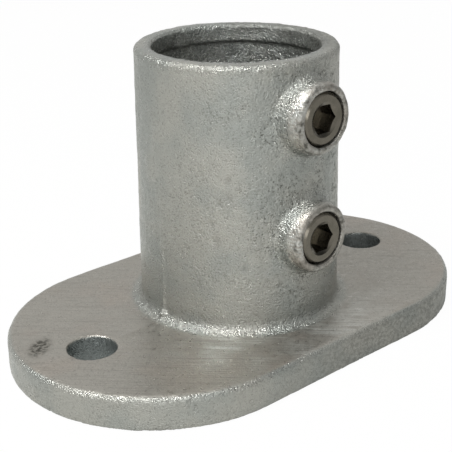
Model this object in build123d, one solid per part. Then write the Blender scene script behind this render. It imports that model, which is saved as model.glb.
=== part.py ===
"""Railing base flange for a 48.3 mm tube: a galvanised iron casting and two socket set screws.

The origin is the centre of the plate's underside. +Z runs up the socket, X runs along the
plate through both fixing holes, and the set screws face -Y. All sizes are in millimetres.
"""

from build123d import *
import math
import os

# Tube and socket
TUBE_DIAMETER = 48.3
TUBE_CLEARANCE = 0.85        # between the tube and the socket's lands, on the radius
SOCKET_WALL = 5.25           # at the mouth, outside a land
SOCKET_DRAFT = 0.6           # degrees: the outside widens towards the plate
SOCKET_HEIGHT = 90.0         # underside of the plate to the mouth
MOUTH_LAND = 5.5             # depth of the land at the mouth
FOOT_LAND = 9.0              # height of the land above the tube stop
RELIEF = 0.9                 # how far the bore opens out between the lands, on the radius
RELIEF_TAPER = 1.2           # height of the cone that leads from the relief to the foot land
STOP_THICKNESS = 4.0         # lip that the tube lands on
STOP_WIDTH = 3.8             # how far the lip reaches in from the land
MOUTH_OUTER_ROUND = 1.6
MOUTH_INNER_ROUND = 0.6

# Base plate
PLATE_LENGTH = 156.0
PLATE_WIDTH = 92.5
PLATE_THICKNESS = 10.3
PLATE_TOP_ROUND = 2.3
PLATE_FOOT_ROUND = 0.8
FIXING_SPACING = 115.0
FIXING_DIAMETER = 14.5
ROOT_FILLET = 3.0            # between the socket and the plate

# Set screws, 3/8 inch pipe thread, as plain cylinders of its pitch diameter
THREAD_DIAMETER = 15.8
THREAD_CLEARANCE = 0.05      # between the screw and its hole, on the radius
SCREW_LENGTH = 10.5
SCREW_RECESS = 0.3           # the screw's outer face lies this far inside the boss's face
SCREW_EDGE_CHAMFER = 0.6
KEY_SIZE = 8.0               # across the flats of the hexagon socket
KEY_DEPTH = 5.2
KEY_LEAD_DIAMETER = 10.2     # countersink round the hexagon
KEY_LEAD_DEPTH = 0.6
POINT_TAPER = 1.6            # length of the cone at the inner end
POINT_DIAMETER = 11.2
CUP_DIAMETER = 8.6
CUP_DEPTH = 1.8

# Bosses that carry the screws, one above the other
UPPER_SCREW_DEPTH = 16.3     # mouth of the socket down to the upper screw's axis
LOWER_SCREW_HEIGHT = 38.2    # underside of the plate up to the lower screw's axis
BOSS_STAND = 5.95            # how far a boss's face stands out beyond the socket's mouth
BOSS_RIM = 2.2               # metal round the screw hole at the face
BOSS_DRAFT = 11.0            # degrees: the boss widens towards the socket
BOSS_FILLET = 2.2            # between a boss and the socket, less where the bosses crowd each other
BOSS_EDGE_ROUND = 1.4
HOLE_MOUTH_CHAMFER = 0.35

LAND_RADIUS = TUBE_DIAMETER / 2 + TUBE_CLEARANCE
MOUTH_RADIUS = LAND_RADIUS + SOCKET_WALL
RELIEF_RADIUS = LAND_RADIUS + RELIEF
STOP_RADIUS = LAND_RADIUS - STOP_WIDTH
SCREW_HOLE_RADIUS = THREAD_DIAMETER / 2 + THREAD_CLEARANCE
BOSS_REACH = MOUTH_RADIUS + BOSS_STAND
SCREW_HEIGHTS = {
    "lower_set_screw": LOWER_SCREW_HEIGHT,
    "upper_set_screw": SOCKET_HEIGHT - UPPER_SCREW_DEPTH,
}


def along_screw(height, reach):
    """A frame on a screw's axis, `reach` out from the socket's axis, with its Z pointing out."""
    return Location(Plane(origin=(0, -reach, height), x_dir=(1, 0, 0), z_dir=(0, -1, 0)))


def plate():
    """The flat plate with round ends, eased along its top and bottom edges."""
    blank = extrude(SlotOverall(PLATE_LENGTH, PLATE_WIDTH), PLATE_THICKNESS)
    blank = fillet(blank.faces().sort_by(Axis.Z)[-1].edges(), PLATE_TOP_ROUND)
    return fillet(blank.faces().sort_by(Axis.Z)[0].edges(), PLATE_FOOT_ROUND)


def socket_outside():
    """The drafted outside of the socket, from the plate's underside to the mouth."""
    foot_radius = MOUTH_RADIUS + SOCKET_HEIGHT * math.tan(math.radians(SOCKET_DRAFT))
    sleeve = Cone(foot_radius, MOUTH_RADIUS, SOCKET_HEIGHT, align=(Align.CENTER, Align.CENTER, Align.MIN))
    return fillet(sleeve.edges().sort_by(Axis.Z)[-1], MOUTH_OUTER_ROUND)


def boss(height):
    """One tapered boss, from inside the socket's wall out to its rounded face."""
    root = LAND_RADIUS
    length = BOSS_REACH - root
    face_radius = SCREW_HOLE_RADIUS + BOSS_RIM
    root_radius = face_radius + length * math.tan(math.radians(BOSS_DRAFT))
    body = Cone(root_radius, face_radius, length, align=(Align.CENTER, Align.CENTER, Align.MIN))
    body = fillet(body.edges().sort_by(Axis.Z)[-1], BOSS_EDGE_ROUND)
    return along_screw(height, root) * body


def bore():
    """What the core leaves open: stop opening, foot land, relief, mouth land and eased mouth."""
    stop_top = STOP_THICKNESS
    land_top = stop_top + FOOT_LAND
    mouth_land_foot = SOCKET_HEIGHT - MOUTH_LAND
    ease = MOUTH_INNER_ROUND
    with BuildPart() as core:
        with BuildSketch(Plane.XZ):
            with BuildLine():
                Polyline(
                    (LAND_RADIUS, SOCKET_HEIGHT - ease),
                    (LAND_RADIUS, mouth_land_foot),
                    (RELIEF_RADIUS, mouth_land_foot),
                    (RELIEF_RADIUS, land_top + RELIEF_TAPER),
                    (LAND_RADIUS, land_top),
                    (LAND_RADIUS, stop_top),
                    (STOP_RADIUS, stop_top),
                    (STOP_RADIUS, 0),
                    (0, 0),
                    (0, SOCKET_HEIGHT),
                    (LAND_RADIUS + ease, SOCKET_HEIGHT),
                )
                RadiusArc((LAND_RADIUS + ease, SOCKET_HEIGHT), (LAND_RADIUS, SOCKET_HEIGHT - ease), ease)
            make_face()
        revolve(axis=Axis.Z)
    return core.part


def boss_foot_fillet():
    """The fillet at a boss's foot: each of the two bosses leaves the other its share of the gap."""
    foot_radius = SCREW_HOLE_RADIUS + BOSS_RIM + BOSS_STAND * math.tan(math.radians(BOSS_DRAFT))
    gap = SCREW_HEIGHTS["upper_set_screw"] - SCREW_HEIGHTS["lower_set_screw"] - 2 * foot_radius
    return min(BOSS_FILLET, gap / 2.5)


def screw_hole(height):
    """The hole that takes one set screw, from the bore out through the boss, with a broken edge."""
    length = BOSS_REACH
    hole = Cylinder(SCREW_HOLE_RADIUS, length, align=(Align.CENTER, Align.CENTER, Align.MIN))
    mouth = Cone(
        SCREW_HOLE_RADIUS,
        SCREW_HOLE_RADIUS + HOLE_MOUTH_CHAMFER,
        HOLE_MOUTH_CHAMFER,
        align=(Align.CENTER, Align.CENTER, Align.MIN),
    )
    return along_screw(height, 0) * (hole + Pos(0, 0, length - HOLE_MOUTH_CHAMFER) * mouth)


def is_socket_root(edge):
    """Whether an edge of the casting is the circle where the socket meets the plate's top."""
    if edge.geom_type != GeomType.CIRCLE:
        return False
    return abs(edge.arc_center.X) < TUBE_CLEARANCE and math.isclose(edge.center().Z, PLATE_THICKNESS)


def is_boss_seam(edge, height):
    """Whether an edge of the casting is part of the seam where the boss at `height` meets the socket."""
    middle = edge @ 0.5
    beside_boss = math.hypot(middle.X, middle.Z - height) < BOSS_REACH / 2
    outside_bore = math.hypot(middle.X, middle.Y) > MOUTH_RADIUS - MOUTH_OUTER_ROUND
    return beside_boss and outside_bore and -BOSS_REACH + BOSS_EDGE_ROUND < middle.Y < 0


def casting():
    """The whole casting: plate, socket and bosses in one piece, with its bore and holes."""
    body = plate() + socket_outside()
    root = body.edges().filter_by(is_socket_root)
    body = fillet(root, ROOT_FILLET)
    for height in SCREW_HEIGHTS.values():
        body = body + boss(height)
        seam = [edge for edge in body.edges() if is_boss_seam(edge, height)]
        body = fillet(seam, boss_foot_fillet())
    body -= bore()
    for height in SCREW_HEIGHTS.values():
        body -= screw_hole(height)
    for side in (-1, 1):
        body -= Pos(side * FIXING_SPACING / 2, 0, 0) * Cylinder(
            FIXING_DIAMETER / 2, PLATE_THICKNESS, align=(Align.CENTER, Align.CENTER, Align.MIN)
        )
    return body


def set_screw(height):
    """A hexagon socket set screw with a cup point, lying in its boss."""
    radius = THREAD_DIAMETER / 2
    with BuildPart() as screw:
        with BuildSketch(Plane.XZ):
            with BuildLine():
                Polyline(
                    (0, CUP_DEPTH),
                    (CUP_DIAMETER / 2, 0),
                    (POINT_DIAMETER / 2, 0),
                    (radius, POINT_TAPER),
                    (radius, SCREW_LENGTH - SCREW_EDGE_CHAMFER),
                    (radius - SCREW_EDGE_CHAMFER, SCREW_LENGTH),
                    (KEY_LEAD_DIAMETER / 2, SCREW_LENGTH),
                    (KEY_SIZE / 2, SCREW_LENGTH - KEY_LEAD_DEPTH),
                    (0, SCREW_LENGTH - KEY_LEAD_DEPTH),
                    close=True,
                )
            make_face()
        revolve(axis=Axis.Z)
        with BuildSketch(Plane.XY.offset(SCREW_LENGTH)):
            RegularPolygon(KEY_SIZE / 2, 6, major_radius=False)
        extrude(amount=-KEY_DEPTH, mode=Mode.SUBTRACT)
    inner_end = BOSS_REACH - SCREW_RECESS - SCREW_LENGTH
    return along_screw(height, inner_end) * screw.part


if __name__ == "__main__":
    os.makedirs("parts", exist_ok=True)
    export_step(casting(), "parts/flange_casting.step")
    for name, height in SCREW_HEIGHTS.items():
        export_step(set_screw(height), f"parts/{name}.step")
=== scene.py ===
"""Looks of a galvanised tube clamp base flange: an iron casting and two hexagon socket set screws.

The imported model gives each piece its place. The casting is rebuilt from its solid with the waves,
lumps, pits and parting seam of hot-dip galvanised iron, and each screw is turned with its thread.
"""

import logging
import math
from dataclasses import dataclass
from enum import Enum

import bmesh
import bpy
import numpy as np
from mathutils import Matrix, Vector, noise


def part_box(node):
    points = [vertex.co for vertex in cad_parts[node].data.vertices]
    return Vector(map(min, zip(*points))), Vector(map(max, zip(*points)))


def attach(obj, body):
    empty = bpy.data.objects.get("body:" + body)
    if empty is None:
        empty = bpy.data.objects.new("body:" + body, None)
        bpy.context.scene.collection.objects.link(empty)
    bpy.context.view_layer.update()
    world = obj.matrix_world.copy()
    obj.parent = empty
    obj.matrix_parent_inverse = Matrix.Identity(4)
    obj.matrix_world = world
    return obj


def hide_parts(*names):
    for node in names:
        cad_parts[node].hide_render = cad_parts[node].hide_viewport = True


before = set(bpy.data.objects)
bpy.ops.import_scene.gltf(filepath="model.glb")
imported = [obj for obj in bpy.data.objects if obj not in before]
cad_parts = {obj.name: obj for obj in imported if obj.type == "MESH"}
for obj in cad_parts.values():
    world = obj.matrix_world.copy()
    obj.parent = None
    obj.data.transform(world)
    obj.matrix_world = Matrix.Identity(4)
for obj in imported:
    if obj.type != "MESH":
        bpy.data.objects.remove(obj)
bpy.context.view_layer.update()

MM = 0.001
LOG = logging.getLogger("base_flange")

# Settings of the nodes that the finishes use most.
TIMES, PLUS, MINUS, LARGER = (
    {"operation": operation, "use_clamp": True} for operation in ("MULTIPLY", "ADD", "SUBTRACT", "MAXIMUM")
)
SMOOTH = {"interpolation_type": "SMOOTHSTEP"}
COLOURS = {"data_type": "RGBA"}
# A colour mix node's sockets by number, since they have no names of their own.
FACTOR, COLOUR_A, COLOUR_B, COLOUR_OUT = 0, 6, 7, 2

Pair = tuple[float, float]
Fade = tuple[float, float]    # the places where something starts and where it is full


def linear(colour: str) -> tuple[float, float, float, float]:
    """Turn an sRGB hex colour into linear RGBA.

    Args:
        colour: The colour, such as "#8a8d88".

    Returns:
        Linear red, green and blue with an alpha of 1.
    """
    parts = (int(colour[i:i + 2], 16) / 255 for i in (1, 3, 5))
    rgb = (c / 12.92 if c <= 0.04045 else ((c + 0.055) / 1.055) ** 2.4 for c in parts)
    return (*rgb, 1.0)


def add_node(
    tree: bpy.types.NodeTree, kind: str, inputs: dict, settings: dict | None = None
) -> bpy.types.NodeOutputs:
    """Add one shader node with its settings and inputs.

    Args:
        tree: The node tree that gets the node.
        kind: The node's type name.
        inputs: For input sockets, by name or number, a constant or the output socket that feeds it.
        settings: Attributes of the node itself.

    Returns:
        The new node's output sockets.
    """
    node = tree.nodes.new(kind)
    for name, value in (settings or {}).items():
        setattr(node, name, value)
    for key, value in inputs.items():
        if isinstance(value, bpy.types.NodeSocket):
            tree.links.new(value, node.inputs[key])
        else:
            node.inputs[key].default_value = value
    return node.outputs


def new_material(name: str) -> tuple[bpy.types.Material, bpy.types.NodeTree]:
    """Make an empty node material.

    Args:
        name: The real material and how its surface was made.

    Returns:
        The material and its cleared node tree.
    """
    material = bpy.data.materials.new(name)
    material.use_nodes = True
    material.node_tree.nodes.clear()
    return material, material.node_tree


def link_object(name: str, mesh: bpy.types.Mesh) -> bpy.types.Object:
    """Put a mesh into the scene as a new object.

    Args:
        name: The object's name.
        mesh: Its mesh.

    Returns:
        The new object.
    """
    obj = bpy.data.objects.new(name, mesh)
    bpy.context.scene.collection.objects.link(obj)
    return obj


def bake_modifiers(obj: bpy.types.Object) -> None:
    """Replace an object's mesh by what its modifiers make of it, and clear them.

    Args:
        obj: The object to change.
    """
    depsgraph = bpy.context.evaluated_depsgraph_get()
    mesh = bpy.data.meshes.new_from_object(obj.evaluated_get(depsgraph))
    obj.modifiers.clear()
    obj.data = mesh


def vertex_array(mesh: bpy.types.Mesh, attribute: str) -> np.ndarray:
    """Read what each vertex of a mesh has.

    Args:
        mesh: The mesh to read.
        attribute: "co" for the places, or "normal" for the normals.

    Returns:
        An N by 3 array in the mesh's own units.
    """
    values = np.empty(len(mesh.vertices) * 3, np.float32)
    source = mesh.vertices if attribute == "co" else mesh.vertex_normals
    source.foreach_get("co" if attribute == "co" else "vector", values)
    return values.reshape(-1, 3).astype(float)


def noise_field(points: np.ndarray, size: float, seed: float) -> np.ndarray:
    """Sample smooth noise.

    Args:
        points: N by 3 places in millimetres.
        size: Distance over which the noise changes, in millimetres.
        seed: Shifts the pattern, so that layers differ.

    Returns:
        N values from about -1 to 1.
    """
    return np.fromiter((noise.noise(p) for p in points / size + seed), float, len(points))


def band(values: np.ndarray, centre: float, width: float) -> np.ndarray:
    """Give a soft bump that is 1 at the centre and fades over the width."""
    return np.exp(-(((values - centre) / width) ** 2))


def ramp(values: np.ndarray, start: float, full: float) -> np.ndarray:
    """Rise smoothly from 0 at start to 1 at full, which may be the lower of the two."""
    t = np.clip((values - start) / (full - start), 0, 1)
    return t * t * (3 - 2 * t)


@dataclass(frozen=True)
class Levels:
    """Two levels of a shader pattern, and the values that they turn into."""

    low: float
    high: float
    at_low: float = 0.0
    at_high: float = 1.0

    def spread(self, pattern: bpy.types.NodeSocket) -> dict:
        """Give the inputs of a map range that turns the pattern's levels into these values."""
        return {
            "Value": pattern,
            "From Min": self.low,
            "From Max": self.high,
            "To Min": self.at_low,
            "To Max": self.at_high,
        }


@dataclass(frozen=True)
class Patches:
    """Patches of noise over the casting, with soft borders between two levels."""

    size_mm: float
    seed: float
    start: float
    full: float

    def share(self, points: np.ndarray) -> np.ndarray:
        """Share of the patches at N by 3 points in millimetres, from 0 to 1."""
        return ramp(noise_field(points, self.size_mm, self.seed), self.start, self.full)


@dataclass(frozen=True)
class Ripple:
    """One layer of unevenness in the skin."""

    size_mm: float
    seed: float
    height_mm: float

    def offset(self, points: np.ndarray) -> np.ndarray:
        """Height of the layer at N by 3 points, both in millimetres."""
        return self.height_mm * noise_field(points, self.size_mm, self.seed)


class Region(Enum):
    """Stretches of the casting whose skin differs, named as the shader reads them."""

    SHADED = "shaded_skin"      # the bore and the bolt holes, darkened with painted shade
    THICK = "thick_skin"        # bosses, root and rounded edges, where the zinc wrinkles as it sets
    BRUSHED = "brushed_skin"    # the plate's top, fettled by hand in straight strokes
    TURNED = "turned_skin"      # the foot of the socket, fettled round and round
    PAINTED_SHEEN = "painted_sheen"        # painted sheen: brighter strokes on the plate in front of the socket
    PITTED = "pitted_skin"
    # soiling round the screws, the stain, darkening in the dents, painted shade on the right side and a
    # painted shadow under the land
    GRIME_AND_SHADE = "grime_and_shade"


class Pattern(Enum):
    """Patterns that the zinc's finish is mixed from."""

    STROKES = "strokes"         # fettling marks, straight across the plate
    TURNING = "turning"         # fettling marks, round the foot of the socket
    GRAIN = "grain"             # crystals of the zinc
    FLECKS = "flecks"           # clusters of crystals that catch the light together
    CLOUDS = "clouds"           # broad patches of thicker zinc
    PORES = "pores"             # dark open pores
    SPECKS = "specks"           # specks of dirt


@dataclass(frozen=True)
class GalvanisedIron:
    """Hot-dip galvanised malleable iron: a dull zinc skin with grain, streaks and bright flecks.

    The zinc is a metal, rough all over, with a crystal grain under a millimetre across that
    breaks each highlight into flecks. Painted shade makes it darker and cooler in the bore and the bolt
    holes, and it is soiled round the screws.
    """

    zinc: str = "#a1a19b"
    zinc_cool: str = "#959894"
    zinc_warm: str = "#a39d95"
    # painted sheen for the strokes in front of the socket
    zinc_painted_sheen: str = "#c6c8c4"
    # painted shade for the bore and the bolt holes
    zinc_painted_shade: str = "#838988"
    # the colour of the soiling, and of the painted shade and painted shadow
    dirt_and_shade: str = "#42413b"
    metallic: float = 0.85
    grain_mm: float = 0.5
    fleck_mm: float = 1.7
    cloud_mm: float = 16.0
    pore_mm: float = 0.62
    speck_mm: float = 1.1
    streak_mm: float = 0.55           # width of a fettling mark
    streak_stretch: float = 0.05      # a fettling mark's width over its length
    stroke_deg: float = -46.0         # way that the strokes run across the plate
    grain_height_mm: float = 0.5      # where the zinc is thick
    grain_on_side: float = 0.66       # share of that height on the socket's plain side
    grain_on_plate: float = 0.16      # and on the plate's fettled top
    stroke_depth: float = 0.21        # the same for the marks of fettling on the plate
    turning_depth: float = 0.2        # and round the foot of the socket
    thick_shine: float = 0.12         # roughness that the zinc loses where it is thick
    grime_dulling: float = 0.25       # and gains over the soiling and the painted shade
    roughness: Levels = Levels(0.35, 0.7, 0.46, 0.26)         # flecks are the smoothest
    cool_levels: Levels = Levels(0.35, 0.65)
    warm_levels: Levels = Levels(0.3, 0.6, 1.0, 0.55)
    sheen_levels: Levels = Levels(0.38, 0.58, 0.1, 1.0)
    pore_levels: Levels = Levels(0.3, 0.42, 0.75, 0.0)
    speck_levels: Levels = Levels(0.38, 0.6, 0.95, 0.4)
    stroke_levels: Levels = Levels(0.3, 0.5, 0.22, 0.0)
    hollow_levels: Levels = Levels(0.3, 0.46, 0.36, 0.0)      # dirt in the hollows of the grain

    def patterns(self, tree: bpy.types.NodeTree) -> dict[Pattern, bpy.types.NodeSocket]:
        """Lay the patterns over the casting.

        Args:
            tree: The material's node tree.

        Returns:
            For each pattern, a socket that runs from 0 to 1.
        """
        place = add_node(tree, "ShaderNodeTexCoord", {})["Object"]
        turn, stretch = math.radians(self.stroke_deg), self.streak_stretch
        strokes = add_node(
            tree, "ShaderNodeMapping",
            {"Vector": place, "Rotation": (0, 0, turn), "Scale": (1 / stretch, 1, 1)},
            {"vector_type": "TEXTURE"},
        )[0]
        rings = add_node(tree, "ShaderNodeMapping", {"Vector": place, "Scale": (stretch, stretch, 1)})[0]
        layers = {
            Pattern.STROKES: (self.streak_mm, 3.0, strokes),
            Pattern.TURNING: (self.streak_mm, 3.0, rings),
            Pattern.GRAIN: (self.grain_mm, 2.5, place),
            Pattern.FLECKS: (self.fleck_mm, 3.0, place),
            Pattern.CLOUDS: (self.cloud_mm, 4.0, place),
            Pattern.PORES: (self.pore_mm, 1.0, place),
            Pattern.SPECKS: (self.speck_mm, 3.0, place),
        }
        found = {}
        for kind, (size_mm, detail, at) in layers.items():
            inputs = {"Vector": at, "Scale": 1 / (size_mm * MM), "Detail": detail}
            found[kind] = add_node(tree, "ShaderNodeTexNoise", inputs)["Fac"]
        return found

    def colour(
        self,
        tree: bpy.types.NodeTree,
        patterns: dict[Pattern, bpy.types.NodeSocket],
        skins: dict[Region, bpy.types.NodeSocket],
    ) -> bpy.types.NodeSocket:
        """Mix the zinc's colour and lay the soiling and the painted shade over it.

        Args:
            tree: The material's node tree.
            patterns: The patterns' sockets.
            skins: The regions' shares.

        Returns:
            The colour's socket.
        """
        grain, clouds = patterns[Pattern.GRAIN], patterns[Pattern.CLOUDS]
        shares = []
        for region, pattern, levels in (
            (Region.BRUSHED, Pattern.CLOUDS, self.warm_levels),
            (Region.PAINTED_SHEEN, Pattern.STROKES, self.sheen_levels),
            (Region.PITTED, Pattern.PORES, self.pore_levels),
            (Region.GRIME_AND_SHADE, Pattern.SPECKS, self.speck_levels),
            (Region.BRUSHED, Pattern.STROKES, self.stroke_levels),
        ):
            level = add_node(tree, "ShaderNodeMapRange", levels.spread(patterns[pattern]), SMOOTH)[0]
            shares.append(add_node(tree, "ShaderNodeMath", {0: skins[region], 1: level}, TIMES)[0])
        warm, sheen, *darker_shares = shares
        dirt_and_shade = add_node(tree, "ShaderNodeMapRange", self.hollow_levels.spread(grain), SMOOTH)[0]
        for share in darker_shares:
            dirt_and_shade = add_node(tree, "ShaderNodeMath", {0: dirt_and_shade, 1: share}, LARGER)[0]

        pale = add_node(tree, "ShaderNodeMapRange", self.cool_levels.spread(clouds), SMOOTH)[0]
        colour = linear(self.zinc_cool)
        for share, coat in (
            (pale, self.zinc),
            (warm, self.zinc_warm),
            # painted shade: the bore and the bolt holes darker
            (skins[Region.SHADED], self.zinc_painted_shade),
            # painted sheen: brighter strokes in front of the socket
            (sheen, self.zinc_painted_sheen),
            # soiling, with painted shade on the right side and a painted shadow under the land
            (dirt_and_shade, self.dirt_and_shade),
        ):
            inputs = {FACTOR: share, COLOUR_A: colour, COLOUR_B: linear(coat)}
            colour = add_node(tree, "ShaderNodeMix", inputs, COLOURS)[COLOUR_OUT]
        return colour

    def rough(
        self,
        tree: bpy.types.NodeTree,
        patterns: dict[Pattern, bpy.types.NodeSocket],
        skins: dict[Region, bpy.types.NodeSocket],
    ) -> bpy.types.NodeSocket:
        """Make the flecks and the thick zinc smoother, and the soiling and the painted shade rougher.

        Args:
            tree: The material's node tree.
            patterns: The patterns' sockets.
            skins: The regions' shares.

        Returns:
            The roughness's socket.
        """
        flecks = patterns[Pattern.FLECKS]
        rough = add_node(tree, "ShaderNodeMapRange", self.roughness.spread(flecks), SMOOTH)[0]
        for region, change, way in (
            (Region.THICK, self.thick_shine, MINUS),
            (Region.GRIME_AND_SHADE, self.grime_dulling, PLUS),
        ):
            part = add_node(tree, "ShaderNodeMath", {0: skins[region], 1: change}, TIMES)[0]
            rough = add_node(tree, "ShaderNodeMath", {0: rough, 1: part}, way)[0]
        return rough

    def height(
        self,
        tree: bpy.types.NodeTree,
        patterns: dict[Pattern, bpy.types.NodeSocket],
        skins: dict[Region, bpy.types.NodeSocket],
    ) -> bpy.types.NodeSocket:
        """Add up the fine relief: the crystal grain and the marks of fettling.

        Args:
            tree: The material's node tree.
            patterns: The patterns' sockets.
            skins: The regions' shares.

        Returns:
            The height's socket, where 1 stands for the whole grain's height.
        """
        strokes, turning, thicker, planed = (
            add_node(tree, "ShaderNodeMath", {0: skins[region], 1: share}, TIMES)[0]
            for region, share in (
                (Region.BRUSHED, self.stroke_depth),
                (Region.TURNED, self.turning_depth),
                (Region.THICK, 1 - self.grain_on_side),
                (Region.BRUSHED, self.grain_on_side - self.grain_on_plate),
            )
        )
        grain = add_node(tree, "ShaderNodeMath", {0: thicker, 1: self.grain_on_side}, PLUS)[0]
        grain = add_node(tree, "ShaderNodeMath", {0: grain, 1: planed}, MINUS)[0]
        height = 0.0
        for pattern, share in (
            (Pattern.STROKES, strokes),
            (Pattern.TURNING, turning),
            (Pattern.GRAIN, grain),
        ):
            inputs = {0: patterns[pattern], 1: share, 2: height}
            height = add_node(tree, "ShaderNodeMath", inputs, {"operation": "MULTIPLY_ADD"})[0]
        return height

    def material(self) -> bpy.types.Material:
        """Build the node material.

        Returns:
            The material, ready for the casting.
        """
        material, tree = new_material("zinc_hot_dip_galvanised")
        patterns = self.patterns(tree)
        skins = {}
        for region in Region:
            source = {"attribute_name": region.value, "attribute_type": "GEOMETRY"}
            skins[region] = add_node(tree, "ShaderNodeAttribute", {}, source)["Fac"]
        relief = {"Height": self.height(tree, patterns, skins), "Strength": 1.0}
        bump = add_node(tree, "ShaderNodeBump", {**relief, "Distance": self.grain_height_mm * MM})["Normal"]
        shader = add_node(tree, "ShaderNodeBsdfPrincipled", {
            "Base Color": self.colour(tree, patterns, skins),
            "Metallic": self.metallic,
            "Roughness": self.rough(tree, patterns, skins),
            "Normal": bump,
        })[0]
        add_node(tree, "ShaderNodeOutputMaterial", {"Surface": shader})
        return material


@dataclass(frozen=True)
class PassivatedSteel:
    """Turned and hardened screw steel with a brown passivated film: darker and smoother than zinc.

    Fine tool marks roughen its highlights a little, and handling leaves dull smears.
    """

    steel: str = "#79746b"
    film: str = "#504e46"
    metallic: float = 1.0
    roughness: Levels = Levels(0.3, 0.7, 0.18, 0.36)
    smear_mm: float = 2.6
    mark_mm: float = 0.3          # tool marks, drawn three times as coarse to show
    mark_height_mm: float = 0.006

    def material(self) -> bpy.types.Material:
        """Build the node material.

        Returns:
            The material, ready for both screws.
        """
        material, tree = new_material("steel_turned_passivated")
        place = add_node(tree, "ShaderNodeTexCoord", {})["Object"]
        smears, marks = (
            add_node(
                tree, "ShaderNodeTexNoise", {"Vector": place, "Scale": 1 / (size_mm * MM), "Detail": detail}
            )["Fac"]
            for size_mm, detail in ((self.smear_mm, 4.0), (self.mark_mm, 1.0))
        )
        tones = {FACTOR: smears, COLOUR_A: linear(self.film), COLOUR_B: linear(self.steel)}
        relief = {"Height": marks, "Strength": 1.0, "Distance": self.mark_height_mm * MM}
        shader = add_node(tree, "ShaderNodeBsdfPrincipled", {
            "Base Color": add_node(tree, "ShaderNodeMix", tones, COLOURS)[COLOUR_OUT],
            "Metallic": self.metallic,
            "Roughness": add_node(tree, "ShaderNodeMapRange", self.roughness.spread(smears))[0],
            "Normal": add_node(tree, "ShaderNodeBump", relief)["Normal"],
        })[0]
        add_node(tree, "ShaderNodeOutputMaterial", {"Surface": shader})
        return material


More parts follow.
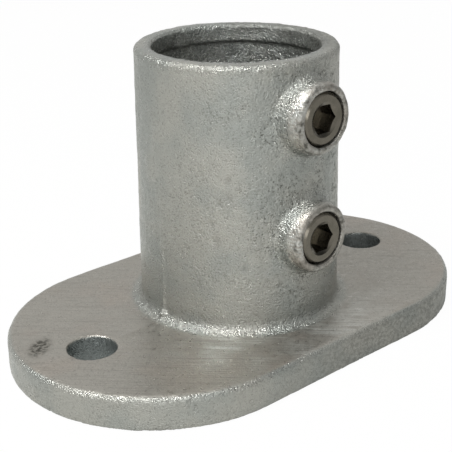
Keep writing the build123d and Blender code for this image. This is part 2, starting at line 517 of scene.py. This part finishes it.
@dataclass(frozen=True)
class ZincSkin:
    """Where each kind of skin lies on the casting, and how far it stands off the true surface.

    Each fade says where a skin starts and where it is full, in millimetres.
    """

    plate_top_mm: float = 10.3
    mouth_mm: float = 90.0
    land_foot_mm: float = 84.5              # underside of the land at the mouth
    hole_from_centre_mm: float = 57.5

    bore_wall: Fade = (27.6, 26.6)          # radius about the socket's axis
    bore_height: Fade = (3.0, 5.0)
    bore_shade: float = 0.3
    hole_wall: Fade = (8.2, 7.6)            # radius about a bolt hole's axis
    hole_height: Fade = (10.0, 9.4)
    outer_wall: Fade = (28.0, 29.0)

    boss_front: Fade = (26.0, 28.0)         # out from the socket's axis
    boss_spread: Fade = (15.5, 12.5)        # radius about a screw's axis
    rim_front: Fade = (34.2, 35.2)
    rim_spread: Fade = (12.0, 10.4)
    near_front: Fade = (15.0, 24.0)
    near_spread: Fade = (27.0, 13.0)
    crevice_front: Fade = (31.0, 33.0)
    crevice_place: Pair = (-10.5, -2.5)     # right of and above a screw's axis
    crevice_mm: float = 4.5

    plate_start: Fade = (33.2, 35.0)        # radius about the socket's axis
    plate_depth: Fade = (0.6, 0.15)         # below the plate's top
    foot_low: Fade = (13.0, 17.0)           # the fettled foot of the socket, from here
    foot_high: Fade = (36.0, 25.0)          # and up to here
    root_radius_mm: float = 32.6
    root_width_mm: float = 2.0
    root_above_mm: float = 1.3              # above the plate's top
    root_height_mm: float = 1.8
    mouth_wall: Fade = (28.0, 29.2)
    mouth_below_mm: float = 1.2
    mouth_height_mm: float = 1.6
    edge_start: Fade = (38.0, 40.0)         # the plate's top edge, radius about the socket's axis
    edge_below_mm: float = 0.9
    edge_height_mm: float = 1.0
    edge_share: float = 0.6
    worn_right: Fade = (-22.0, 12.0)        # handling wears the front right smooth
    worn_front: Fade = (0.0, 20.0)
    worn_share: float = 0.75

    # painted sheen: where the strokes in front of the socket are brighter
    sheen_front: Fade = (12.0, 24.0)
    sheen_reach: Fade = (60.0, 38.0)        # radius about the socket's axis
    sheen_middle_mm: float = -24.0          # right of the socket's axis
    sheen_width_mm: float = 40.0
    sheen_patches: Patches = Patches(7.0, 63.0, -0.3, 0.3)

    pit_height: Fade = (88.0, 86.0)
    pit_share: float = 0.5
    pit_share_near: float = 0.9             # more of them near the bosses
    pit_patches: Patches = Patches(8.0, 31.0, -0.25, 0.3)
    pores: Patches = Patches(1.1, 51.0, 0.3, 0.55)
    pore_depth_mm: float = 0.3

    stain_place: Pair = (-68.5, 10.5)       # beside the left bolt hole
    stain_way: Pair = (0.77, 0.64)          # cosine and sine of its long way
    stain_half_mm: Pair = (8.0, 4.0)        # half its length and half its width
    stain_fade: Fade = (1.0, 0.4)           # as shares of those
    stain_height: Fade = (8.0, 10.0)
    rust: Patches = Patches(1.6, 17.0, -0.15, 0.5)
    rim_grime: float = 0.35
    rust_grime: float = 0.5
    crevice_grime: float = 0.6
    # painted shadow: a dark line under the land at the mouth
    land_painted_shadow: float = 0.6
    land_wall: Fade = (27.2, 26.0)
    land_below_mm: float = 0.4
    land_height_mm: float = 0.7
    far_side_painted_shade: float = 0.5                  # painted shade: the right side darker
    far_right: Fade = (-45.0, 10.0)
    far_plate_height: Fade = (9.6, 8.4)
    far_mouth_height: Fade = (86.0, 88.0)
    far_mouth_right: Fade = (5.0, 20.0)
    dent_darkening: float = 1.3                 # for each millimetre of depth

    sunk_mm: float = 0.096                  # mean depth, so that the crests stay in the solid's box
    waves: tuple[Ripple, ...] = (Ripple(21.0, 3.1, 0.08), Ripple(9.0, 11.4, 0.04))
    lumps: tuple[Ripple, ...] = (Ripple(3.6, 5.9, 0.085), Ripple(1.5, 23.0, 0.05), Ripple(0.95, 41.0, 0.03))
    rougher: tuple[tuple[Region, float], ...] = (   # lumps that each skin gains or loses
        (Region.THICK, 0.8),
        (Region.BRUSHED, -0.6),
        (Region.TURNED, -0.4),
    )
    rougher_bore: float = 1.2               # and the same below the land at the mouth
    rougher_border_mm: float = 0.3

    seam_mm: float = 0.6                    # the mould's parting line, at the socket's left and right
    seam_place_mm: float = -0.4
    seam_width_mm: float = 0.5
    seam_low: Fade = (10.6, 12.0)
    seam_high: Fade = (40.0, 30.0)          # ground down above here
    seam_wall: Fade = (35.0, 33.6)
    seam_left: float = 0.25                 # share that grinding left
    seam_wander: Ripple = Ripple(6.0, 2.2, 0.2)
    bead_mm: float = 1.0                    # drop of zinc where the left line meets the root
    bead_above_mm: float = 1.7              # above the plate's top
    bead_width_mm: float = 1.3
    bead_left: Fade = (30.0, 31.5)

    dent_squash: tuple[float, float, float] = (1.3, 1.3, 0.75)    # dents run up the socket
    dents_mm: tuple[tuple[float, ...], ...] = (   # place, size and depth of the larger dents
        (-22.6, -20.7, 57.3, 0.9, 0.35),
        (-22.3, -21.0, 52.0, 0.8, 0.3),
        (-25.8, -16.7, 44.2, 0.9, 0.35),
        (-24.3, -18.7, 50.4, 0.7, 0.3),
        (-25.0, -17.9, 38.8, 1.3, 0.3),
        (-19.5, -23.9, 30.5, 0.8, 0.3),
        (-7.3, -30.0, 33.4, 1.0, 0.4),
        (-9.5, -29.3, 35.5, 0.8, 0.35),
        (3.5, -30.4, 52.3, 1.2, 0.2),
        (-2.4, -30.5, 60.4, 0.8, 0.3),
    )

    def screw_heights(self) -> list[float]:
        """Heights of the screw axes in millimetres, from the screws' own boxes."""
        boxes = (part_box(node) for node in ("lower_set_screw", "upper_set_screw"))
        return [(low.z + high.z) / 2 / MM for low, high in boxes]

    def round_screws(self, points: np.ndarray, front: Fade, spread: Fade) -> np.ndarray:
        """Find what lies in front of the socket and round either screw.

        Args:
            points: N by 3 places on the casting in millimetres.
            front: The fade out from the socket's axis.
            spread: The fade in towards a screw's axis.

        Returns:
            N shares from 0 to 1.
        """
        x, y, z = points.T
        shares = [ramp(np.hypot(x, z - height), *spread) for height in self.screw_heights()]
        return ramp(-y, *front) * np.max(shares, axis=0)

    def crevice(self, points: np.ndarray) -> np.ndarray:
        """Find the grimy crevice at the low left of each boss.

        Args:
            points: N by 3 places on the casting in millimetres.

        Returns:
            N shares from 0 to 1.
        """
        x, y, z = points.T
        right, above = self.crevice_place
        away = [np.hypot(x - right, z - height - above) for height in self.screw_heights()]
        return ramp(-y, *self.crevice_front) * band(np.min(away, axis=0), 0.0, self.crevice_mm)

    def stain(self, points: np.ndarray) -> np.ndarray:
        """Find the long dark stain on the plate.

        Args:
            points: N by 3 places on the casting in millimetres.

        Returns:
            N shares from 0 to 1.
        """
        x, y, z = points.T
        right, back = x - self.stain_place[0], y - self.stain_place[1]
        cosine, sine = self.stain_way
        along = (right * cosine + back * sine) / self.stain_half_mm[0]
        across = (back * cosine - right * sine) / self.stain_half_mm[1]
        return ramp(np.hypot(along, across), *self.stain_fade) * ramp(z, *self.stain_height)

    def plate(self, points: np.ndarray) -> np.ndarray:
        """Share of the plate's fettled top, at N by 3 points in millimetres."""
        x, y, z = points.T
        return ramp(np.hypot(x, y), *self.plate_start) * ramp(self.plate_top_mm - z, *self.plate_depth)

    def thick(self, points: np.ndarray) -> np.ndarray:
        """Share of thick zinc on the bosses, the root, the mouth and the plate's top edge.

        Args:
            points: N by 3 places on the casting in millimetres.

        Returns:
            N shares, which pass 1 where two of them meet.
        """
        x, y, z = points.T
        radius = np.hypot(x, y)
        worn = 1 - self.worn_share * ramp(x, *self.worn_right) * ramp(-y, *self.worn_front)
        root = band(radius, self.root_radius_mm, self.root_width_mm)
        root *= band(z, self.plate_top_mm + self.root_above_mm, self.root_height_mm) * worn
        mouth = band(z, self.mouth_mm - self.mouth_below_mm, self.mouth_height_mm)
        mouth *= ramp(radius, *self.mouth_wall)
        edge = band(z, self.plate_top_mm - self.edge_below_mm, self.edge_height_mm)
        edge *= ramp(radius, *self.edge_start) * (1 - self.plate(points)) * worn
        boss = self.round_screws(points, self.boss_front, self.boss_spread)
        return boss + root + mouth + self.edge_share * edge

    def grime_and_shade(self, points: np.ndarray) -> np.ndarray:
        """Share of soiling round the screws and of the stain, of darkening in the dents, of painted shade
        on the far side and of a painted shadow under the land.

        Args:
            points: N by 3 places on the casting in millimetres.

        Returns:
            N shares, which pass 1 where several of them meet.
        """
        x, y, z = points.T
        rust = self.rust.share(points)
        rim = self.round_screws(points, self.rim_front, self.rim_spread)
        rim *= self.rim_grime + self.rust_grime * rust
        # painted shadow: a dark line under the land at the mouth
        land = band(z, self.land_foot_mm - self.land_below_mm, self.land_height_mm)
        land *= ramp(np.hypot(x, y), *self.land_wall)
        # painted shade: the plate's side and the mouth darker towards the right
        far_mouth = ramp(z, *self.far_mouth_height) * ramp(x, *self.far_mouth_right)
        far = ramp(x, *self.far_right) * (ramp(z, *self.far_plate_height) + far_mouth)
        crevice = self.crevice_grime * self.crevice(points) * rust
        # darker in the dents, by their depth
        dents = self.dent_darkening * self.dents(points)
        return rim + crevice + self.stain(points) + self.land_painted_shadow * land + self.far_side_painted_shade * far + dents

    def regions(self, points: np.ndarray) -> dict[Region, np.ndarray]:
        """Say where each kind of skin lies.

        Args:
            points: N by 3 places on the casting in millimetres.

        Returns:
            For each region, N shares from 0 to 1.
        """
        x, y, z = points.T
        radius = np.hypot(x, y)
        plate, outer = self.plate(points), ramp(radius, *self.outer_wall)
        bore = ramp(radius, *self.bore_wall) * ramp(z, *self.bore_height)
        from_hole = np.hypot(np.abs(x) - self.hole_from_centre_mm, y)
        holes = ramp(from_hole, *self.hole_wall) * ramp(z, *self.hole_height)
        foot = ramp(z, *self.foot_low) * ramp(z, *self.foot_high) * outer
        near = self.round_screws(points, self.near_front, self.near_spread)
        pitted = outer * (1 - plate) * ramp(z, *self.pit_height) * self.pit_patches.share(points)
        pitted *= self.pit_share + self.pit_share_near * near
        # painted sheen in strokes in front of the socket
        sheen = plate * ramp(-y, *self.sheen_front) * band(x, self.sheen_middle_mm, self.sheen_width_mm)
        sheen *= ramp(radius, *self.sheen_reach) * self.sheen_patches.share(points)
        return {
            # painted shade in the bore and the bolt holes
            Region.SHADED: np.maximum(self.bore_shade * bore, holes),
            Region.THICK: np.clip(self.thick(points) + bore, 0, 1),
            Region.BRUSHED: plate,
            Region.TURNED: foot,
            Region.PAINTED_SHEEN: sheen,
            Region.PITTED: np.clip(pitted + self.stain(points), 0, 1),
            # soiling, with painted shade on the right side and a painted shadow under the land
            Region.GRIME_AND_SHADE: np.clip(self.grime_and_shade(points), 0, 1),
        }

    def seam(self, points: np.ndarray) -> np.ndarray:
        """Raise the parting seam and the bead at its foot.

        Args:
            points: N by 3 places on the true surface in millimetres.

        Returns:
            N heights in millimetres.
        """
        x, y, z = points.T
        radius = np.hypot(x, y)
        seam = band(y, self.seam_place_mm, self.seam_width_mm) * ramp(radius, *self.outer_wall)
        seam *= ramp(z, *self.seam_low) * ramp(radius, *self.seam_wall)
        ground = self.seam_left + (1 - self.seam_left) * ramp(z, *self.seam_high)
        seam *= ground + self.seam_wander.offset(points)
        from_bead = np.hypot(y - self.seam_place_mm, z - self.plate_top_mm - self.bead_above_mm)
        bead = band(from_bead, 0.0, self.bead_width_mm) * ramp(-x, *self.bead_left)
        return self.seam_mm * seam + self.bead_mm * bead

    def dents(self, points: np.ndarray) -> np.ndarray:
        """Sink the larger dents.

        Args:
            points: N by 3 places on the true surface in millimetres.

        Returns:
            N depths in millimetres.
        """
        depths = np.zeros(len(points))
        for *centre, size, depth in self.dents_mm:
            across = np.linalg.norm((points - np.array(centre)) * self.dent_squash, axis=1)
            depths += depth * band(across, 0.0, size)
        return depths

    def relief(self, points: np.ndarray) -> np.ndarray:
        """Say how far the skin stands off the true surface.

        Args:
            points: N by 3 places on the true surface in millimetres.

        Returns:
            N heights in millimetres, below zero where the skin dips.
        """
        skins = self.regions(points)
        above_border = self.land_foot_mm + self.rougher_border_mm
        below_border = self.land_foot_mm - self.rougher_border_mm
        in_bore = skins[Region.SHADED] * ramp(points[:, 2], above_border, below_border)
        rough = 1 + self.rougher_bore * in_bore
        for region, gain in self.rougher:
            rough += gain * skins[region]
        lumps = rough * sum(ripple.offset(points) for ripple in self.lumps)
        waves = sum(ripple.offset(points) for ripple in self.waves) - self.sunk_mm
        pores = self.pore_depth_mm * self.pores.share(points) * skins[Region.PITTED]
        return waves + lumps + self.seam(points) - pores - self.dents(points)


@dataclass
class Casting:
    """The iron casting, with the skin that hot-dip galvanising leaves on it."""

    node: str = "flange_casting"
    voxel_mm: float = 0.5
    triangles: int = 190_000
    weld_mm: float = 0.001
    skin: ZincSkin = ZincSkin()

    def build_mesh(self) -> bpy.types.Object:
        """Rebuild the casting's solid as a fine even mesh and work the zinc skin into it.

        Returns:
            The finished object, inside the solid's own box.
        """
        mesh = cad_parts[self.node].data.copy()
        work = bmesh.new()
        work.from_mesh(mesh)
        bmesh.ops.remove_doubles(work, verts=work.verts, dist=self.weld_mm * MM)
        work.to_mesh(mesh)
        work.free()
        solid = link_object("casting_solid", mesh)
        obj = link_object("galvanised_casting", mesh.copy())
        remesh = obj.modifiers.new("even", "REMESH")
        remesh.mode = "VOXEL"
        remesh.voxel_size = self.voxel_mm * MM
        remesh.use_smooth_shade = True
        onto = obj.modifiers.new("onto_solid", "SHRINKWRAP")
        onto.target = solid
        bake_modifiers(obj)
        bpy.data.objects.remove(solid)

        places = vertex_array(obj.data, "co")
        normals = vertex_array(obj.data, "normal")
        places += normals * self.skin.relief(places / MM)[:, None] * MM
        self.place_vertices(obj.data, places)
        thin = obj.modifiers.new("thin_out", "DECIMATE")
        thin.ratio = min(1.0, self.triangles / (2 * len(obj.data.polygons)))
        bake_modifiers(obj)
        self.place_vertices(obj.data, vertex_array(obj.data, "co"))
        obj.data.name = obj.name
        return obj

    def place_vertices(self, mesh: bpy.types.Mesh, places: np.ndarray) -> None:
        """Move a mesh's vertices, and keep them inside the solid's own box.

        Args:
            mesh: The mesh to change.
            places: N by 3 places in metres.
        """
        low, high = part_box(self.node)
        held = np.clip(places, np.array(low), np.array(high))
        mesh.vertices.foreach_set("co", held.astype(np.float32).ravel())
        mesh.update()

    def dress(self, obj: bpy.types.Object, material: bpy.types.Material) -> None:
        """Paint the regions on the mesh, give it its finish and bind it to its body.

        Args:
            obj: The casting's mesh object.
            material: Its zinc finish.
        """
        skins = self.skin.regions(vertex_array(obj.data, "co") / MM)
        for region, share in skins.items():
            layer = obj.data.attributes.new(region.value, "FLOAT", "POINT")
            layer.data.foreach_set("value", share.astype(np.float32))
        obj.data.materials.clear()
        obj.data.materials.append(material)
        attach(obj, "casting")
        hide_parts(self.node)


@dataclass
class SetScrew:
    """A hexagon socket set screw, turned from its outer face in to its cup point."""

    node: str
    body: str
    pitch_mm: float = 1.337          # nineteen threads to the inch
    thread_depth_mm: float = 0.42    # drawn shallow, so that the crests clear the plain hole
    thread_slope: float = 1.25       # above 1, so that crests and roots are flat
    thread_root: float = 0.125       # share of the depth that the flat roots cut off
    crest_gap_mm: float = 0.02
    edge_chamfer_mm: float = 0.95
    key_mm: float = 8.0              # across the flats
    key_depth_mm: float = 5.2
    key_floor_share: float = 0.42    # radius of the drilled floor, of the key's width
    key_drill_share: float = 0.1     # depth of its cone, of the key's width
    lead_radius_mm: float = 5.1
    lead_slope: float = 0.545        # depth of the countersink for each millimetre of radius
    cup_radius_mm: float = 4.3
    cup_depth_mm: float = 1.8
    point_radius_mm: float = 5.6
    point_length_mm: float = 1.6
    columns: int = 120
    rings_per_pitch: int = 10
    centre_mm: float = 0.001         # radius of the rings that close the ends
    weld_mm: float = 0.002
    sharp_deg: float = 28.0

    def profile(self, length: float, crest: float) -> list[np.ndarray]:
        """Work out the screw's rings from the cup round the outside to the socket's floor.

        Args:
            length: The screw's length in millimetres.
            crest: Radius over the thread's crests in millimetres.

        Returns:
            Rings of columns by 3 points, with z from 0 at the cup to length at the face.
        """
        turn = np.arange(self.columns) / self.columns
        angle = turn * 2 * math.pi
        around = np.stack([np.cos(angle), np.sin(angle)], axis=1)

        def ring(radius: float | np.ndarray, height: float) -> np.ndarray:
            """One ring, whose radius may change around it."""
            flat = around * np.broadcast_to(radius, self.columns)[:, None]
            return np.column_stack([flat, np.broadcast_to(height, self.columns)])

        flat_angle = np.mod(angle, math.pi / 3) - math.pi / 6
        key = self.key_mm / 2 / np.cos(flat_angle)
        rings = [
            ring(self.centre_mm, self.cup_depth_mm),
            ring(self.cup_radius_mm, 0.0),
            ring(self.point_radius_mm, 0.0),
        ]
        taper = (crest - self.point_radius_mm) / self.point_length_mm
        steps = int(length / self.pitch_mm * self.rings_per_pitch)
        for step in range(1, steps):
            height = length * step / steps
            phase = np.mod(height / self.pitch_mm + turn, 1)
            groove = np.clip(self.thread_slope * np.abs(2 * phase - 1) - self.thread_root, 0, 1)
            limit = min(
                self.point_radius_mm + taper * height,
                crest - self.edge_chamfer_mm + (length - height),
            )
            rings.append(ring(np.minimum(crest - self.thread_depth_mm * groove, limit), height))
        floor = length - self.key_depth_mm
        return rings + [
            ring(crest - self.edge_chamfer_mm, length),
            ring(self.lead_radius_mm, length),
            ring(key, length - (self.lead_radius_mm - key) * self.lead_slope),
            ring(key, floor),
            ring(self.key_mm * self.key_floor_share, floor),
            ring(self.centre_mm, floor - self.key_mm * self.key_drill_share),
        ]

    def build_mesh(self) -> bpy.types.Object:
        """Turn the screw at the place of its solid.

        Returns:
            The screw as a new object.
        """
        low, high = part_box(self.node)
        length = (high.y - low.y) / MM
        crest = (high.x - low.x) / 2 / MM - self.crest_gap_mm
        rings = np.array(self.profile(length, crest))
        count = len(rings)
        points = rings.reshape(-1, 3)
        axis_x, axis_z = (low.x + high.x) / 2, (low.z + high.z) / 2
        places = np.column_stack([
            axis_x + points[:, 0] * MM,
            high.y - points[:, 2] * MM,
            axis_z + points[:, 1] * MM,
        ])
        work = bmesh.new()
        verts = [work.verts.new(place) for place in places]
        for row in range(count - 1):
            for column in range(self.columns):
                after = (column + 1) % self.columns
                a, b = row * self.columns, (row + 1) * self.columns
                corners = (a + column, b + column, b + after, a + after)
                work.faces.new([verts[corner] for corner in corners])
        bmesh.ops.remove_doubles(work, verts=work.verts, dist=self.weld_mm * MM)
        bmesh.ops.recalc_face_normals(work, faces=work.faces)
        for face in work.faces:
            face.smooth = True
        sharp = math.radians(self.sharp_deg)
        for edge in work.edges:
            edge.smooth = len(edge.link_faces) == 2 and edge.calc_face_angle() < sharp
        mesh = bpy.data.meshes.new(self.node)
        work.to_mesh(mesh)
        work.free()
        return link_object(self.node + "_turned", mesh)

    def dress(self, obj: bpy.types.Object, material: bpy.types.Material) -> None:
        """Give the screw its finish and bind it to its body.

        Args:
            obj: The screw's mesh object.
            material: Its steel finish.
        """
        obj.data.materials.append(material)
        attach(obj, self.body)
        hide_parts(self.node)


@dataclass(frozen=True)
class Lamp:
    """One square lamp that faces the object."""

    name: str
    towards: tuple[float, float, float]    # from the object to the lamp
    away_m: float
    size_m: float
    watts: float

    def hang(self, aim: Vector) -> None:
        """Hang the lamp.

        Args:
            aim: The place that it faces, in metres.
        """
        data = bpy.data.lights.new(self.name, "AREA")
        data.energy = self.watts
        data.size = self.size_m
        obj = bpy.data.objects.new(self.name, data)
        bpy.context.scene.collection.objects.link(obj)
        direction = Vector(self.towards).normalized()
        obj.location = aim + direction * self.away_m
        obj.rotation_euler = direction.to_track_quat("Z", "Y").to_euler()


@dataclass
class Studio:
    """A pale floor, a soft sky, the lamps and the camera."""

    azimuth_deg: float = -41.65
    elevation_deg: float = 22.04
    roll_deg: float = -0.94
    distance_mm: float = 332.07
    target_mm: tuple[float, float, float] = (-9.81, -5.18, 35.98)
    lens_mm: float = 87.43
    sensor_mm: float = 36.0
    clip_m: float = 0.01
    floor_mm: float = 6000.0
    floor_colour: str = "#d4d4d1"
    white_seen: float = 0.975     # share of plain white in the floor, straight on
    white_mirrored: float = 0.3   # the same in the metal, which mirrors the object's shadow too
    sky_pale: str = "#dcdcda"
    sky_dark: str = "#5d5f60"
    dark_side: tuple[float, float, float] = (0.7, -0.7, 0.05)
    dark_edge: Levels = Levels(0.7, 0.97)    # cosines at which the dark side starts and is full
    aim_m: tuple[float, float, float] = (0.0, 0.0, 0.04)
    lamps: tuple[Lamp, ...] = (
        Lamp("key", (-0.47, -0.03, 0.85), 0.8, 0.25, 6.0),
        Lamp("fill", (-0.62, -0.75, 0.3), 1.2, 0.5, 2.6),
    )

    def camera(self) -> None:
        """Stand the camera at the viewing angle."""
        azimuth, elevation, roll = map(math.radians, (self.azimuth_deg, self.elevation_deg, self.roll_deg))
        back = Vector((
            math.sin(azimuth) * math.cos(elevation),
            -math.cos(azimuth) * math.cos(elevation),
            math.sin(elevation),
        ))
        right = (-back).cross(Vector((0, 0, 1))).normalized()
        up = right.cross(-back)
        turned_right = math.cos(roll) * right + math.sin(roll) * up
        turned_up = math.cos(roll) * up - math.sin(roll) * right
        data = bpy.data.cameras.new("camera")
        data.lens = self.lens_mm
        data.sensor_width = self.sensor_mm
        data.clip_start = self.clip_m
        obj = bpy.data.objects.new("camera", data)
        bpy.context.scene.collection.objects.link(obj)
        place = Matrix((turned_right, turned_up, back)).transposed().to_4x4()
        place.translation = (Vector(self.target_mm) + self.distance_mm * back) * MM
        obj.matrix_world = place
        bpy.context.scene.camera = obj

    def floor(self) -> None:
        """Lay the floor: white where it is seen, with the object's soft shadow kept."""
        half = self.floor_mm * MM / 2
        mesh = bpy.data.meshes.new("floor")
        corners = [(-half, -half, 0), (half, -half, 0), (half, half, 0), (-half, half, 0)]
        mesh.from_pydata(corners, [], [(0, 1, 2, 3)])
        obj = link_object("floor", mesh)
        material, tree = new_material("paper_matt")
        rays = add_node(tree, "ShaderNodeLightPath", {})
        either = {0: rays["Is Glossy Ray"], 1: rays["Is Transmission Ray"]}
        mirrored = add_node(tree, "ShaderNodeMath", either, LARGER)[0]
        mirrored = add_node(tree, "ShaderNodeMath", {0: mirrored, 1: self.white_mirrored}, TIMES)[0]
        seen = {0: rays["Is Camera Ray"], 1: self.white_seen, 2: mirrored}
        share = add_node(tree, "ShaderNodeMath", seen, {"operation": "MULTIPLY_ADD"})[0]
        matt = add_node(tree, "ShaderNodeBsdfDiffuse", {"Color": linear(self.floor_colour)})[0]
        white = add_node(tree, "ShaderNodeEmission", {"Color": linear("#ffffff"), "Strength": 1.0})[0]
        both = add_node(tree, "ShaderNodeMixShader", {0: share, 1: matt, 2: white})[0]
        add_node(tree, "ShaderNodeOutputMaterial", {"Surface": both})
        mesh.materials.append(material)

    def sky(self) -> None:
        """Light the scene softly, with one darker side that gives the metal its contrast."""
        world = bpy.data.worlds.new("studio")
        bpy.context.scene.world = world
        world.use_nodes = True
        tree = world.node_tree
        tree.nodes.clear()
        direction = add_node(tree, "ShaderNodeTexCoord", {})["Generated"]
        sides = {0: direction, 1: Vector(self.dark_side).normalized()}
        facing = add_node(tree, "ShaderNodeVectorMath", sides, {"operation": "DOT_PRODUCT"})["Value"]
        share = add_node(tree, "ShaderNodeMapRange", self.dark_edge.spread(facing), SMOOTH)[0]
        tones = {FACTOR: share, COLOUR_A: linear(self.sky_pale), COLOUR_B: linear(self.sky_dark)}
        colour = add_node(tree, "ShaderNodeMix", tones, COLOURS)[COLOUR_OUT]
        light = add_node(tree, "ShaderNodeBackground", {"Color": colour, "Strength": 1.0})[0]
        add_node(tree, "ShaderNodeOutputWorld", {"Surface": light})

    def build(self) -> None:
        """Set up the whole studio."""
        self.camera()
        self.floor()
        self.sky()
        for lamp in self.lamps:
            lamp.hang(Vector(self.aim_m))
        bpy.context.scene.view_settings.view_transform = "Standard"


def main() -> None:
    """Build the studio, the casting and its screws, and report each piece."""
    logging.basicConfig(level=logging.INFO, format="%(name)s: %(message)s")
    Studio().build()
    casting = Casting()
    body = casting.build_mesh()
    casting.dress(body, GalvanisedIron().material())
    LOG.info("%s: %d faces", body.name, len(body.data.polygons))
    steel = PassivatedSteel().material()
    for side in ("upper", "lower"):
        screw = SetScrew(node=f"{side}_set_screw", body=f"{side}_screw")
        turned = screw.build_mesh()
        screw.dress(turned, steel)
        LOG.info("%s: %d faces", turned.name, len(turned.data.polygons))


if __name__ == "__main__":
    main()
